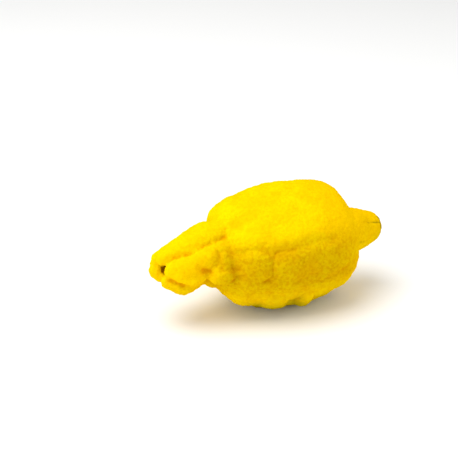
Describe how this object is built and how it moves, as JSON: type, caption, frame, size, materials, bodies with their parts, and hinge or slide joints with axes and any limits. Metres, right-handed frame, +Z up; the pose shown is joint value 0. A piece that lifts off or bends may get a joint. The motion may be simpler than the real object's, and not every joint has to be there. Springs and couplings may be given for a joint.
{
  "type": "citron",
  "caption": "Whole warty citron fruit lying on its side: thick bumpy yellow rind, a neck of finger-like lobes round a stem hollow at one end, a blunt nipple at the other.",
  "frame": {"origin": "on the surface that the fruit lies on, under the middle of its bounding box", "axes": "+X along the fruit's axis from the stem hollow to the nipple, +Y away from the side that the picture shows, +Z up"},
  "size_m": [0.1776, 0.0912, 0.0893],
  "materials": {
    "rind": "semi-matte waxy citrus peel with fine oil pores",
    "stem": "dry brown woody calyx and cut stem"
  },
  "bodies": {
    "root": {"fruit": "rind", "stem_button": "stem"}
  },
  "joints": []
}
